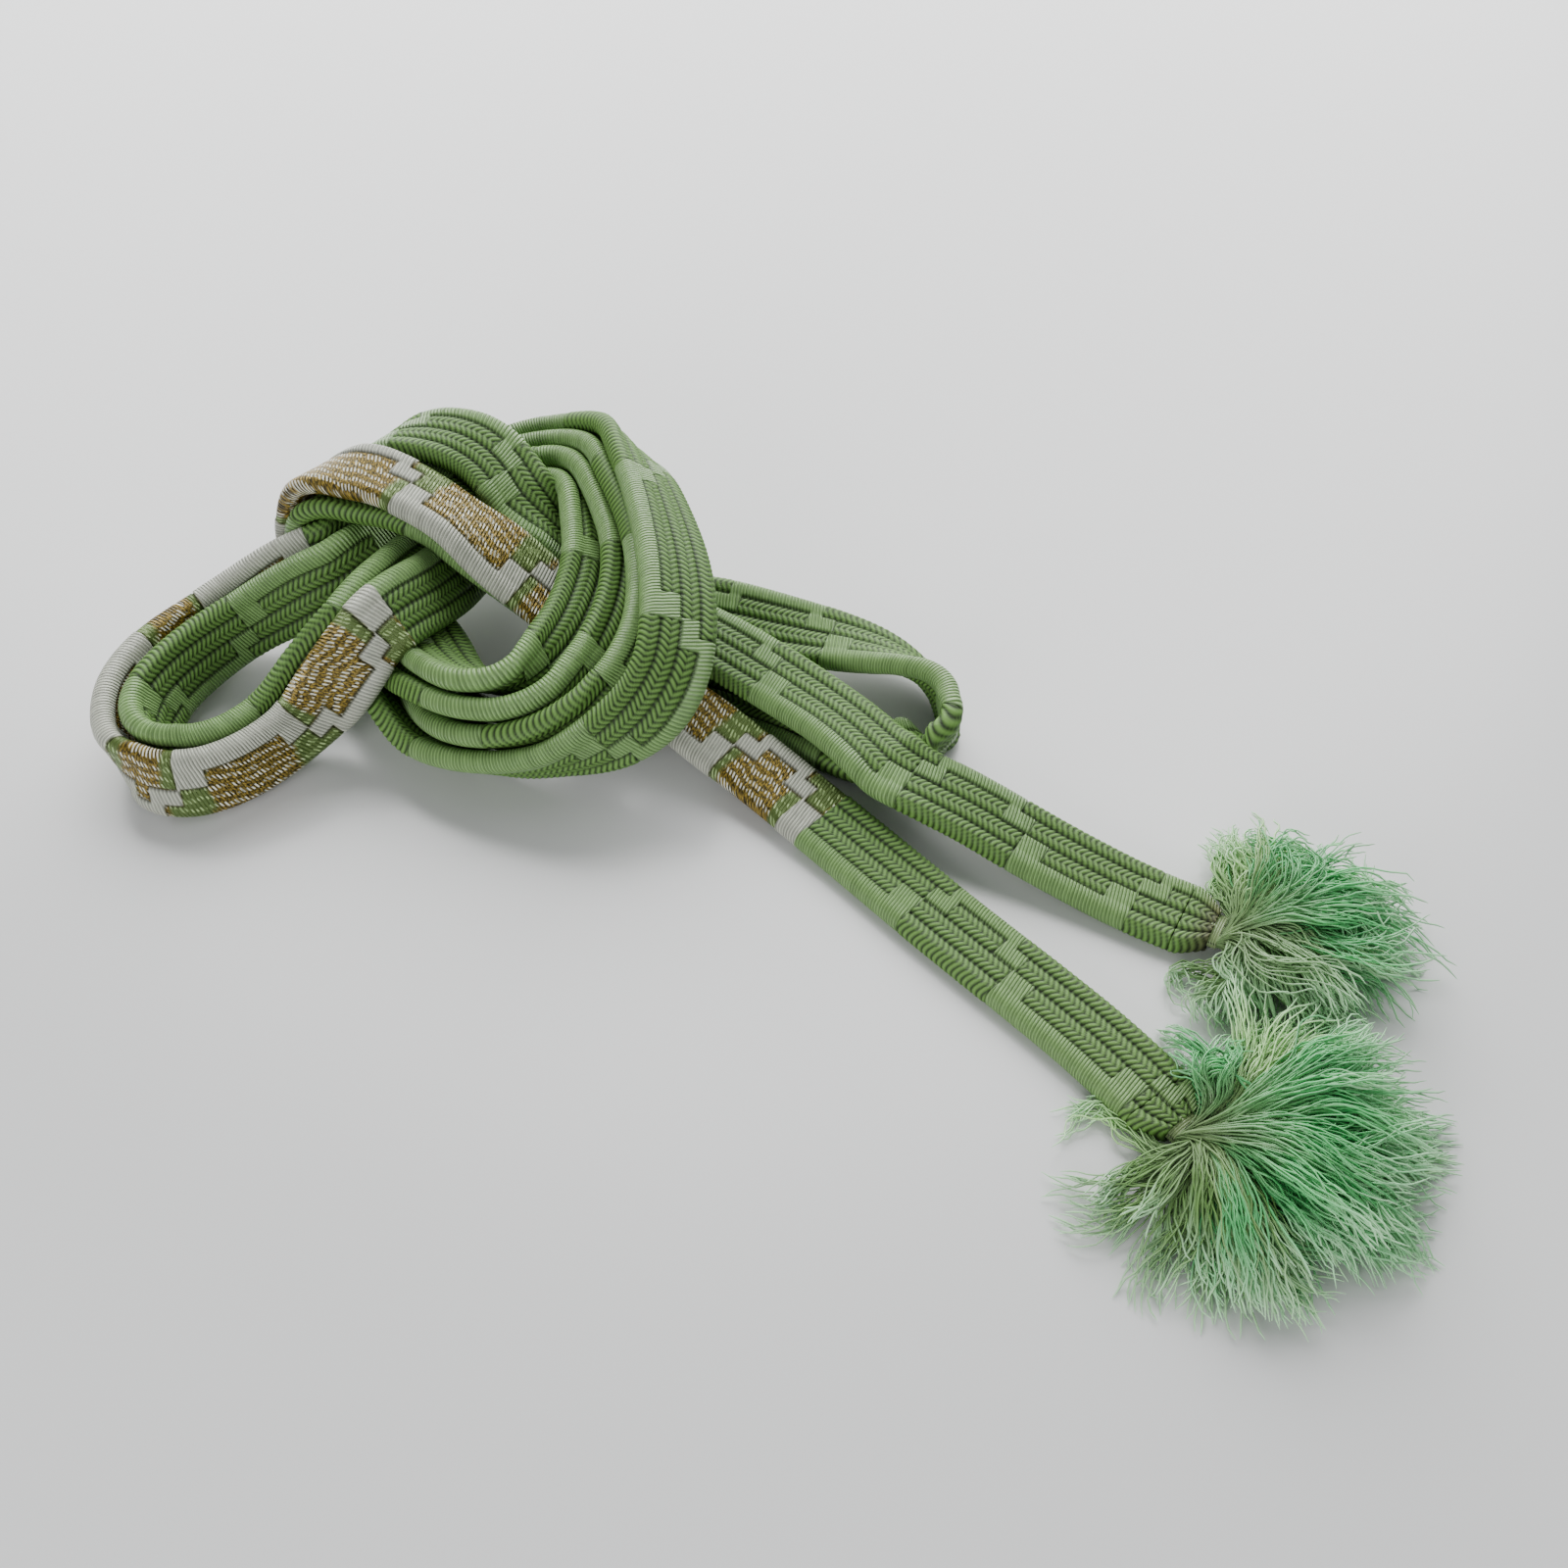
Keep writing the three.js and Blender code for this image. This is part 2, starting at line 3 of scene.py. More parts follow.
import bpy
import numpy as np
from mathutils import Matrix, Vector


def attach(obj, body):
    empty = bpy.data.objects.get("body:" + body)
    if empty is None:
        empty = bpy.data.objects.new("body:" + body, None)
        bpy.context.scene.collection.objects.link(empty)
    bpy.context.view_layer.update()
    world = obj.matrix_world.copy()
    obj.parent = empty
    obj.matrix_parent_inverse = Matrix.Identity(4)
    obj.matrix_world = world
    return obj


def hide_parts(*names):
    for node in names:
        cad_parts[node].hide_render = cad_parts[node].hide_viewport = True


MM = 0.001
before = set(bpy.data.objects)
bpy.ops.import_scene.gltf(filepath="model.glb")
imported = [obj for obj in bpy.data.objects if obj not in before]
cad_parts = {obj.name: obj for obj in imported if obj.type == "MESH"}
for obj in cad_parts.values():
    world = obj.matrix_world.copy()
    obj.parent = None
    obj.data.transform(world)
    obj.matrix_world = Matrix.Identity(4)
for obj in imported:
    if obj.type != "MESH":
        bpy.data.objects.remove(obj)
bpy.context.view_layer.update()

# The braid's route from one neck to the other, by stretch, in millimetres:
# [x, y, z, heading, lean], the same stations as the CAD part.
ROUTE = {
    "tail_a": [
        [51, -10.5, 1.15, 50, 0], [45, -7.5, 1.15, 50, 0], [39.5, -4, 2, 50, 0], [32.8, -0.1, 3, 48, 0],
        [23.2, 6.7, 5.8, 44, -3], [13.3, 15.2, 5.8, 42, -5], [5, 22.5, 5.5, 40, 0],
    ],
    "over_a": [
        [-3, 28, 7, 35, 0], [-8, 31, 7, 40, -5], [-16, 37, 8, 40, -5], [-23, 42, 11, 45, -5],
        [-29, 46, 16.2, 45, -5], [-32, 51, 18.7, 45, 0], [-36, 52.5, 20.7, 45, 5],
    ],
    "turn_a": [
        [-40.5, 53.7, 21.5, 45, 5], [-44.5, 53.2, 21, 45, 5], [-49, 52.2, 19.5, 45, 5],
        [-52, 50.5, 15, 45, 0], [-52.5, 50, 9.5, 45, -10], [-50.5, 47.5, 5.5, 40, -10],
        [-47.5, 42, 4, 40, -15], [-44, 34.5, 3.5, 45, -15], [-42, 27.5, 4, 50, -20],
        [-39, 18.89, 5.5, 60, -35],
    ],
    "coil_a": [
        [-34.5, 11.6, 7, 70, -45], [-29, 10.1, 8, 80, -50], [-23.5, 10.1, 9, 85, -60],
        [-18.5, 10.6, 10.5, 90, -85], [-14.5, 12.6, 12, -50, -60], [-11.5, 16, 15, -25, -40],
        [-9.5, 21.31, 17, -10, -30], [-9.5, 27.5, 18, 0, -25], [-10.5, 33, 18.5, 5, -30],
        [-12.5, 39.5, 18, 20, -40], [-16, 46, 17.5, 30, -50], [-20.5, 52, 15.5, 40, -65],
        [-26, 55.5, 13.5, 35, -80], [-31.5, 55, 12, -5, -85], [-37, 51.5, 11, -40, -75],
    ],
    "inner_loop_far": [
        [-42, 45, 11.5, -45, -70], [-47, 38.5, 12, -50, -70], [-52.5, 34, 12, -55, -80],
        [-58.5, 34, 9.5, -55, -80], [-65, 33, 6.5, -55, -80], [-70.5, 28, 5.5, -55, -70],
        [-73.5, 23.5, 6, -45, -65], [-75.5, 18.5, 6, -25, -60], [-76, 14, 6, 0, -65],
        [-74.1, 9.7, 6, 20, -80],
    ],
    "inner_loop_near": [
        [-71, 8.6, 5.2, -80, -82], [-66.2, 9, 5, -60, -80], [-61.8, 12.2, 5, -50, -80],
        [-57.6, 16.4, 5.3, -50, -78], [-52.9, 20.3, 9, -50, -71], [-47.6, 23.6, 12.6, -45, -66],
        [-44.2, 27.4, 14.2, -40, -64], [-41.8, 35, 13, -40, -60],
    ],
    "coil_b": [
        [-40, 42.5, 11, -40, -60], [-37, 48.5, 11, -40, -70], [-32.5, 51.5, 12.5, -30, -80],
        [-28, 53, 14, 20, -85], [-22.5, 51.5, 15, 40, -75], [-18, 47, 15.5, 30, -55],
        [-15, 41, 16, 15, -40], [-13.5, 34.5, 16, 5, -35], [-13, 28, 15.5, -5, -30],
        [-14.5, 22.37, 14, -20, -40], [-18.5, 17.15, 12, -50, -70], [-23.5, 13.1, 11, 90, -70],
        [-29, 11.6, 10, 85, -50],
    ],
    "turn_b": [
        [-34, 12.6, 9.5, 75, -50], [-39.5, 18.31, 8, 60, -35], [-44, 25.42, 7, 50, -20],
        [-49, 33, 6.5, 40, -15], [-53, 39.5, 7, 40, -15], [-55.5, 44, 9, 40, -15],
        [-57.5, 46.5, 12, 40, -10], [-56.4, 48.4, 15, 45, -10], [-54.9, 48.4, 16.5, 45, -10],
        [-51.9, 47.9, 17, 45, -10], [-45.9, 45.4, 17.5, 45, -10],
    ],
    "under_b": [
        [-39.2, 41.7, 16.5, 45, -12], [-34.2, 38.7, 15, 45, -14], [-29.2, 36.7, 12, 45, -14],
        [-24.2, 34.1, 8.5, 45, -12], [-19.3, 31.5, 5.5, 45, -10],
    ],
    "right_loop_near": [
        [-15, 28, 3, 40, -5], [-8, 26, 2, 40, 0], [-0.5, 23.5, 1.5, 35, 0], [6.5, 20, 1.5, 40, 0],
        [13, 14.5, 1.5, 40, 0], [19, 10, 1.5, 50, 0], [23, 10.5, 2.5, 70, -30], [26, 14.5, 4.5, 70, -65],
    ],
    "right_loop_far": [
        [26.5, 19, 5, 0, -85], [25.5, 23, 5, 20, -75], [22.5, 26.5, 5, 50, -50], [17, 29.5, 5, 65, -20],
        [11, 31.5, 4.5, 65, 0], [3, 33.5, 5, 60, 15], [-3, 36.5, 4.5, 50, 20], [-8.5, 38.5, 4, 50, 10],
    ],
    "under_c": [
        [-16, 39, 4.5, 45, 0], [-23.5, 42.5, 8, 45, -5], [-29.5, 46, 11, 45, -5],
        [-33.5, 49.5, 15, 45, 0], [-37, 51.5, 16.5, 45, 5],
    ],
    "turn_c": [
        [-42, 52.5, 17.5, 45, 5], [-47, 51, 17, 45, 5], [-48.5, 49.5, 15.5, 45, 0],
        [-49.5, 47.5, 12.5, 45, -10], [-50, 45, 9.5, 40, -10], [-48, 41.5, 7.5, 40, -15],
        [-45, 35, 7, 40, -15], [-42.5, 28, 8, 50, -25], [-39, 19.47, 10, 60, -40],
    ],
    "coil_c": [
        [-35, 14.67, 11.5, 75, -50], [-30, 14.05, 12, 90, -70], [-25, 16.52, 12.5, -50, -70],
        [-21.5, 22.07, 13, -25, -45], [-19, 28.5, 14, -10, -30], [-18.5, 35, 14.5, 0, -35],
        [-19.5, 42, 15, 10, -40], [-22, 48, 15, 20, -60], [-26, 51, 14.5, 30, -80],
        [-30, 50, 13, -20, -80], [-34.5, 47, 11, -40, -60],
    ],
    "outer_loop_near": [
        [-38, 40.5, 10.5, -40, -55], [-40, 32.4, 13.3, -40, -65], [-42.2, 25.5, 14.6, -40, -75],
        [-45.4, 22, 13.8, -45, -74], [-50, 18.1, 9.8, -50, -76], [-55, 14.2, 5.2, -50, -82],
        [-59.4, 10, 5, -50, -82], [-64, 6.2, 5, -58, -80], [-69.4, 4.6, 5, -75, -77],
    ],
    "outer_loop_far": [
        [-74.5, 6.5, 5, -120, -80], [-78, 10.5, 5, 0, -75], [-79.5, 15.5, 5, -5, -70],
        [-79, 21.5, 5.5, -25, -65], [-76.5, 27.5, 5.5, -45, -70], [-71.5, 33, 5.5, -55, -80],
        [-66, 37, 6.5, -55, -80], [-59, 38, 9.5, -55, -80], [-52.5, 39.5, 12, -55, -80],
        [-47, 43.5, 12, -50, -75],
    ],
    "coil_d": [
        [-41.5, 49, 12, -45, -75], [-36.5, 55.5, 11, -30, -80], [-31.5, 58.5, 11.5, 0, -90],
        [-26, 59, 13, 35, -85], [-21, 55, 15.5, 40, -70], [-16, 48, 18.5, 35, -50],
        [-12, 40.5, 20.5, 20, -40], [-9.5, 32.5, 21.5, 10, -30], [-8, 25, 21.5, 0, -25],
        [-7.5, 19, 20.5, -5, -25], [-7.5, 13.79, 18.5, -10, -30], [-9, 10.57, 15.5, -30, -40],
        [-13, 9.1, 12, -50, -70], [-18.5, 9.1, 9, -80, -90], [-24, 9.6, 7, 90, -60],
    ],
    "turn_d": [
        [-30, 10.6, 5.5, 80, -50], [-36, 12.6, 5, 70, -40], [-41, 17.94, 4.5, 60, -30],
        [-46, 25.5, 3.5, 50, -20], [-50, 33, 3, 40, -15], [-54.5, 40, 3.5, 40, -15],
        [-57.5, 45.5, 5, 40, -15], [-59, 48, 8.5, 40, -10], [-58.5, 49, 13.5, 45, -10],
        [-56, 48, 18, 45, -10],
    ],
    "over_d": [
        [-51.5, 46.3, 20.8, 45, -10], [-46, 44.3, 21.3, 45, -10], [-40, 39.8, 20.3, 45, -10],
        [-35, 37.3, 18.3, 45, -10], [-30, 34.8, 15.8, 45, -10], [-25.5, 32.8, 12.3, 45, -10],
        [-20.5, 29.3, 9.3, 45, -10],
    ],
    "tail_b": [
        [-14.5, 24.5, 6.5, 40, -5], [-8.6, 19.4, 4.5, 40, -5], [-2.3, 14.6, 3, 40, 0],
        [5.2, 7.7, 2, 40, 0], [11.3, 1.8, 1.15, 45, 0], [21.3, -9.2, 1.15, 45, 0],
        [33.2, -21.3, 1.15, 45, 0], [40.8, -29.2, 1.15, 45, 0], [45, -35, 1.15, 40, 0],
    ],
}
CENTRE = np.array([0.87, -2.32, 0])
WIDTH, THICK, ROUNDING = 9.7, 2.7, 0.8      # millimetres; thinner than the real braid, so that strands clear
STEP, FINE = 2.6, 24
HALF_FLAT, CONTACT = 3.3, 3.3
SETTLE_ROUNDS, HOLD, EASE = 300, 0.01, 1.6
NEIGHBOUR_REACH, SAME_STRETCH = 13, 14
SUB = 16                                    # fine rings per settled ring

rng = np.random.default_rng(7)


def across_of(heading, lean):
    h, l = np.radians(heading), np.radians(lean)
    return np.stack([np.cos(h) * np.cos(l), np.sin(h) * np.cos(l), np.sin(l)], 1)


def slopes(x, u):
    m = np.zeros_like(x)
    m[0] = (x[1] - x[0]) / (u[1] - u[0])
    m[-1] = (x[-1] - x[-2]) / (u[-1] - u[-2])
    before, after = (u[1:-1] - u[:-2])[:, None], (u[2:] - u[1:-1])[:, None]
    m[1:-1] = ((x[1:-1] - x[:-2]) * after / before + (x[2:] - x[1:-1]) * before / after) / (before + after)
    return m


def hermite(x, u, steps):
    m = slopes(x, u)
    f = (np.arange(steps) / steps)[None, :, None]
    h = np.diff(u)[:, None, None]
    a, b, ma, mb = x[:-1, None], x[1:, None], m[:-1, None], m[1:, None]
    out = (a * (2 * f**3 - 3 * f**2 + 1) + ma * h * (f**3 - 2 * f**2 + f)
           + b * (3 * f**2 - 2 * f**3) + mb * h * (f**3 - f**2))
    return np.vstack([out.reshape(-1, 3), x[-1:]])


def lengths(p):
    return np.r_[0, np.cumsum(np.linalg.norm(np.diff(p, axis=0), axis=1))]


def lay_route():
    """Evenly spaced ring centres and across directions, and the ring where each stretch starts."""
    rows = np.array([row for rows in ROUTE.values() for row in rows], float)
    p, w = rows[:, :3], across_of(rows[:, 3], rows[:, 4])
    u = np.r_[0, np.cumsum(np.linalg.norm(np.diff(p, axis=0), axis=1) ** 0.5)]
    fine_p, fine_w = hermite(p, u, FINE), hermite(w, u, FINE)
    along = lengths(fine_p)
    count = int(round(along[-1] / STEP))
    at = np.linspace(0, along[-1], count + 1)
    pick = lambda x: np.stack([np.interp(at, along, x[:, k]) for k in range(3)], 1)
    firsts = np.cumsum([0] + [len(r) for r in ROUTE.values()])[:-1]
    starts = [int(round(along[f * FINE] / along[-1] * count)) for f in firsts]
    return pick(fine_p), pick(fine_w), dict(zip(ROUTE, starts)), count


def square_up(p, w):
    t = np.vstack([p[1] - p[0], p[2:] - p[:-2], p[-1] - p[-2]])
    t /= np.linalg.norm(t, axis=1)[:, None]
    w = w - (w * t).sum(1)[:, None] * t
    return t, w / np.linalg.norm(w, axis=1)[:, None]


def smooth(x, times):
    for _ in range(times):
        y = x.copy()
        y[1:-1] = 0.5 * x[1:-1] + 0.25 * (x[:-2] + x[2:])
        x = y
    return x


def nearest(p, a, q, b):
    """Where two rings' flat middle lines come nearest, -1 to 1 along each."""
    r, A = p - q, HALF_FLAT**2
    B, c, f = (a * b).sum(1) * A, (a * r).sum(1) * HALF_FLAT, (b * r).sum(1) * HALF_FLAT
    den = A * A - B * B
    s = np.where(den > 1e-4 * A * A, np.clip((B * f - c * A) / np.maximum(den, 1e-9), -1, 1),
                 0.5 * np.clip(-c / A, -1, 1))
    t = np.clip((B * s + f) / A, -1, 1)
    s = np.clip((B * t - c) / A, -1, 1)
    return s, np.clip((B * s + f) / A, -1, 1)


def lowest(p, t, w):
    n = np.cross(t, w)
    w2, t2 = WIDTH / 2, THICK / 2
    corners = [(a * (w2 - da), b * (t2 - db)) for a in (1, -1) for b in (1, -1)
               for da, db in ((0, ROUNDING), (ROUNDING, 0))]
    return p[:, 2] + np.min([a * w[:, 2] + b * n[:, 2] for a, b in corners], axis=0)


def settle(p, w):
    """The stretches press each other apart, and the table holds them up, as in the CAD part."""
    home_p, home_w = p.copy(), w.copy()
    first, second = np.triu_indices(len(p), int(SAME_STRETCH / np.linalg.norm(p[1] - p[0])))
    for k in range(SETTLE_ROUNDS):
        if k % 10 == 0:
            close = np.linalg.norm(p[first] - p[second], axis=1) < NEIGHBOUR_REACH
            i, j = first[close], second[close]
        t, w = square_up(p, w)
        s, q = nearest(p[i], w[i], p[j], w[j])
        v = p[i] + s[:, None] * HALF_FLAT * w[i] - p[j] - q[:, None] * HALF_FLAT * w[j]
        d = np.maximum(np.linalg.norm(v, axis=1), 1e-3)
        hit = d < CONTACT
        v = (v * ((CONTACT - d) / 2 / d)[:, None])[hit]
        push, load = np.zeros((2, len(p), 3)), np.zeros((2, len(p)))
        for ring, at, sign in ((i[hit], s[hit], 1), (j[hit], q[hit], -1)):
            for e, share in enumerate(((1 + at) / 2, (1 - at) / 2)):
                np.add.at(push[e], ring, v * (sign * share)[:, None])
                np.add.at(load[e], ring, share)
        lift = np.maximum(-lowest(p, t, w), 0)
        ends = []
        for e, sign in enumerate((1, -1)):
            moved = smooth(push[e] / np.maximum(load[e], 1)[:, None], 3)
            end = p + sign * HALF_FLAT * w + EASE * moved
            end[:, 2] += lift
            ends.append(end)
        p = (ends[0] + ends[1]) / 2 * (1 - HOLD) + home_p * HOLD
        w = (ends[0] - ends[1]) / (2 * HALF_FLAT) * (1 - HOLD) + home_w * HOLD
        p = p + 0.15 * (smooth(p, 1) - p)
    t, w = square_up(p, w)
    p[:, 2] += np.maximum(-lowest(p, t, w), 0)
    return p, w


# ---------------------------------------------------------------- the braid's pattern
COLUMN = 2.5                 # four plaited columns side by side
BLOCK = 3.3                  # a satin block's length
STITCH = 0.77                # a chevron's pitch
EDGE_ROUND = THICK / 2

# Where the satin thread crosses from one edge to the other, in millimetres along the cord:
# measured places at both ends, and one pitch repeated between them.
CROSSINGS = ([-16, 7.3, 19.2, 37.5, 58.4, 80.7] + [103 + 19.46 * k for k in range(33)]
             + [745.4, 762.5, 779.6, 796.9, 813.9, 827.7, 839.4, 853.5, 865.6, 878.7, 899.5, 921, 942.6, 965.2,
                986.5, 1007.5, 1028.5, 1051.5, 1076.5, 1091.9, 1109.2, 1126.5, 1141.2, 1158.4, 1175.7, 1192.9, 1211])
# Stretches of brocade, start and end along the cord.
BROCADE = [(795.3, 880.4), (1050, 1142.8)]

GREEN = np.array([0.140, 0.285, 0.062])
# The satin green is lighter than GREEN partly as the satin's own colour and partly as painted sheen on the smooth
# floats.
GREEN_SATIN = np.array([0.240, 0.420, 0.142])
WHITE = np.array([0.580, 0.600, 0.500])
OLIVE = np.array([0.120, 0.180, 0.050])


def profile():
    """Round the braid's section: offsets, outward normals and the distance round from the front's middle."""
    flat, r = WIDTH / 2 - EDGE_ROUND, EDGE_ROUND
    face = np.linspace(flat, -flat, 32)
    arc = np.linspace(0, np.pi, 12)[1:-1]
    front = [(a, r, 0, 1, a) for a in face]
    left = [(-flat - r * np.sin(g), r * np.cos(g), -np.sin(g), np.cos(g), -flat - r * g) for g in arc]
    turn = flat + np.pi * r
    back = [(-a, -r, 0, -1, -turn - (flat - a) if a > 0 else turn + flat + a) for a in face]
    right = [(flat + r * np.sin(g), -r * np.cos(g), np.sin(g), -np.cos(g), flat + r * (np.pi - g))
             for g in arc]
    return np.array(front + left + back + right)


def bell(x, width):
    return np.exp(-(x / width) ** 2)


def is_satin(col, q):
    """Satin threads by column, at a signed distance q from a crossing towards the far edge's run."""
    half = BLOCK / 2
    return (((col <= 0) & (q < half)) | ((col == 1) & (np.abs(q) < half))
            | ((col == 2) & (q > half - 0.2) & (q < half + BLOCK)) | ((col >= 3) & (q > half + 0.55 * BLOCK)))


def pattern(s, v):
    """Relief height, colour with painted shade in the seams and creases and painted light and shade on the chevron
    lobes, thread share, brocade share, leaf share and the seam and crease mask for painted shade, over (along,
    across).
    """
    stairs = np.array(CROSSINGS)
    k = np.clip(np.searchsorted(stairs, s) - 1, 0, len(stairs) - 2)
    near = np.minimum(s - stairs[k], stairs[k + 1] - s)
    q = np.where(k % 2 == 0, near, -near)
    col = np.clip(np.floor((v + 2 * COLUMN) / COLUMN), 0, 3).astype(int)
    vc = ((v + 2 * COLUMN) / COLUMN - col) * 2 - 1
    satin = is_satin(col, q)
    beside = is_satin(col + np.where(vc > 0, 1, -1), q)
    outer = ((col == 0) & (vc < 0)) | ((col == 3) & (vc > 0))
    gold = np.zeros_like(s)
    for lo, hi in BROCADE:
        gold = np.maximum(gold, ((s > lo) & (s < hi)).astype(float))
    field = (gold > 0) & ~satin
    seam = np.where(outer | (satin & beside) | (field & ~beside), 0, bell(np.abs(vc) - 1, 0.14))
    half = BLOCK / 2
    stops = np.choose(col, [np.abs(q - half), np.abs(np.abs(q) - half),
                            np.minimum(np.abs(q - half + 0.2), np.abs(q - half - BLOCK)),
                            np.abs(q - half - 0.55 * BLOCK)])
    crease = np.where(satin, 0, bell(stops, 0.16))
    lobe = np.abs(np.sin(np.pi * (s / STITCH + np.abs(vc) * 1.15)))
    plait = -0.08 + 0.17 * lobe - 0.10 * bell(vc, 0.14) - 0.22 * np.abs(vc) ** 2.4
    plain = np.where(field, -0.06, np.where(outer, plait + 0.12, plait))
    height = np.where(satin, 0.08 - 0.10 * np.abs(vc) ** 5, plain)
    height = height - 0.24 * seam - 0.18 * crease
    # Painted shade: the seams between columns and the creases where satin blocks stop are darkened in the colour, as
    # well as sunk in the relief.
    painted_shading = np.clip(1 - 0.95 * seam - 0.80 * crease, 0.06, 1)
    # Painted light and shade on the plait: bright chevron lobes, a darker middle line and darker sides to each
    # column.
    lobe_shading = 0.06 + 1.16 * lobe ** 1.3 - 0.34 * bell(vc, 0.18) - 0.14 * np.abs(vc)
    painted_shading = painted_shading * np.where(satin | field, 1.0, np.clip(lobe_shading, 0.1, 1.1))
    colour = np.where(satin[..., None], np.where(gold[..., None] > 0, WHITE, GREEN_SATIN), GREEN)
    leaf = np.where(field, np.clip(0.75 - (np.abs(q - half / 2) - half) / (1.0 * BLOCK), 0, 1), 0)
    thread = (satin | field).astype(float)
    return height, colour * painted_shading[..., None], thread, field.astype(float), leaf, seam + crease


def braid_mesh(name, p, w, s, end_colour=None, taper=None):
    """A closed relief mesh along ring centres p, in metres, with its pattern and painted shade as point attributes.
    """
    prof = profile()
    t, w = square_up(p, w)
    n = np.cross(t, w)
    S, V = np.broadcast_arrays(s[:, None], prof[None, :, 0])
    height, colour, thread, gold, leaf, groove_shade = pattern(S, V)
    wrap = np.broadcast_to(prof[None, :, 4], S.shape)
    if end_colour is not None:
        share = np.clip(1.1 - 1.4 * np.arange(len(p)) / (len(p) - 1), 0, 1)[:, None, None]
        # The end's brown keeps the painted shade through the colour's brightness.
        colour = colour * (1 - share) + end_colour * (colour.mean(-1, keepdims=True) / 0.19) * share
    scale = np.ones(len(p)) if taper is None else taper
    a = prof[None, :, 0] * scale[:, None] + prof[None, :, 2] * height
    b = prof[None, :, 1] + prof[None, :, 3] * height
    co = (p[:, None] + a[..., None] * w[:, None] + b[..., None] * n[:, None]) * MM
    rings, m = a.shape
    i, k = np.meshgrid(np.arange(rings - 1), np.arange(m), indexing="ij")
    k2 = (k + 1) % m
    quads = np.stack([i * m + k, i * m + k2, (i + 1) * m + k2, (i + 1) * m + k], -1).reshape(-1, 4)
    ends = [list(range(m))[::-1], [(rings - 1) * m + c for c in range(m)]]
    mesh = bpy.data.meshes.new(name)
    mesh.from_pydata(co.reshape(-1, 3).tolist(), [], quads[:, ::-1].tolist() + [e[::-1] for e in ends])
    mesh.update()
    for key, values in (("along_mm", S), ("across_mm", V), ("thread", thread), ("gold", gold),
                        ("leaf", leaf), ("wrap_mm", wrap), ("groove_shade", groove_shade)):
        attribute = mesh.attributes.new(key, "FLOAT", "POINT")
        attribute.data.foreach_set("value", np.ascontiguousarray(values, float).ravel().astype(np.float32))
    colour_and_painted_light = mesh.attributes.new("colour_and_painted_light", "FLOAT_COLOR", "POINT")
    rgba = np.concatenate([colour, np.ones(colour.shape[:2] + (1,))], -1)
    colour_and_painted_light.data.foreach_set("color", rgba.ravel().astype(np.float32))
    mesh.polygons.foreach_set("use_smooth", [True] * len(mesh.polygons))
    obj = bpy.data.objects.new(name, mesh)
    bpy.context.scene.collection.objects.link(obj)
    return obj


# ---------------------------------------------------------------- materials
def new_material(name):
    m = bpy.data.materials.new(name)
    m.use_nodes = True
    tree = m.node_tree
    return m, tree, tree.nodes["Principled BSDF"]


def attribute_of(tree, name, output="Fac"):
    made = tree.nodes.new("ShaderNodeAttribute")
    made.attribute_name = name
    return made.outputs[output]


def maths(tree, operation, a, b=None):
    made = tree.nodes.new("ShaderNodeMath")
    made.operation = operation
    for socket, value in zip(made.inputs, (a, b)):
        if value is None:
            continue
        if isinstance(value, (int, float)):
            socket.default_value = value
        else:
            tree.links.new(value, socket)
    return made.outputs[0]


def streaks(tree, along, across, fine, long, detail=2.0):
    """Noise drawn out across the braid, like single threads."""
    join = tree.nodes.new("ShaderNodeCombineXYZ")
    tree.links.new(maths(tree, "MULTIPLY", along, fine), join.inputs[0])
    tree.links.new(maths(tree, "MULTIPLY", across, long), join.inputs[1])
    noise = tree.nodes.new("ShaderNodeTexNoise")
    noise.inputs["Scale"].default_value = 1.0
    noise.inputs["Detail"].default_value = detail
    tree.links.new(join.outputs[0], noise.inputs["Vector"])
    return noise.outputs["Fac"]


def ramp(tree, value, low, high):
    made = tree.nodes.new("ShaderNodeMapRange")
    made.inputs["From Min"].default_value = low
    made.inputs["From Max"].default_value = high
    tree.links.new(value, made.inputs["Value"])
    return made.outputs["Result"]


def mix_colour(tree, share, a, b, mode="MIX"):
    made = tree.nodes.new("ShaderNodeMix")
    made.data_type = "RGBA"
    made.blend_type = mode
    for socket, value in ((made.inputs[0], share), (made.inputs[6], a), (made.inputs[7], b)):
        if isinstance(value, (int, float)):
            socket.default_value = value
        elif isinstance(value, (tuple, list, np.ndarray)):
            socket.default_value = (*value, 1.0)
        else:
            tree.links.new(value, socket)
    return made.outputs[2]


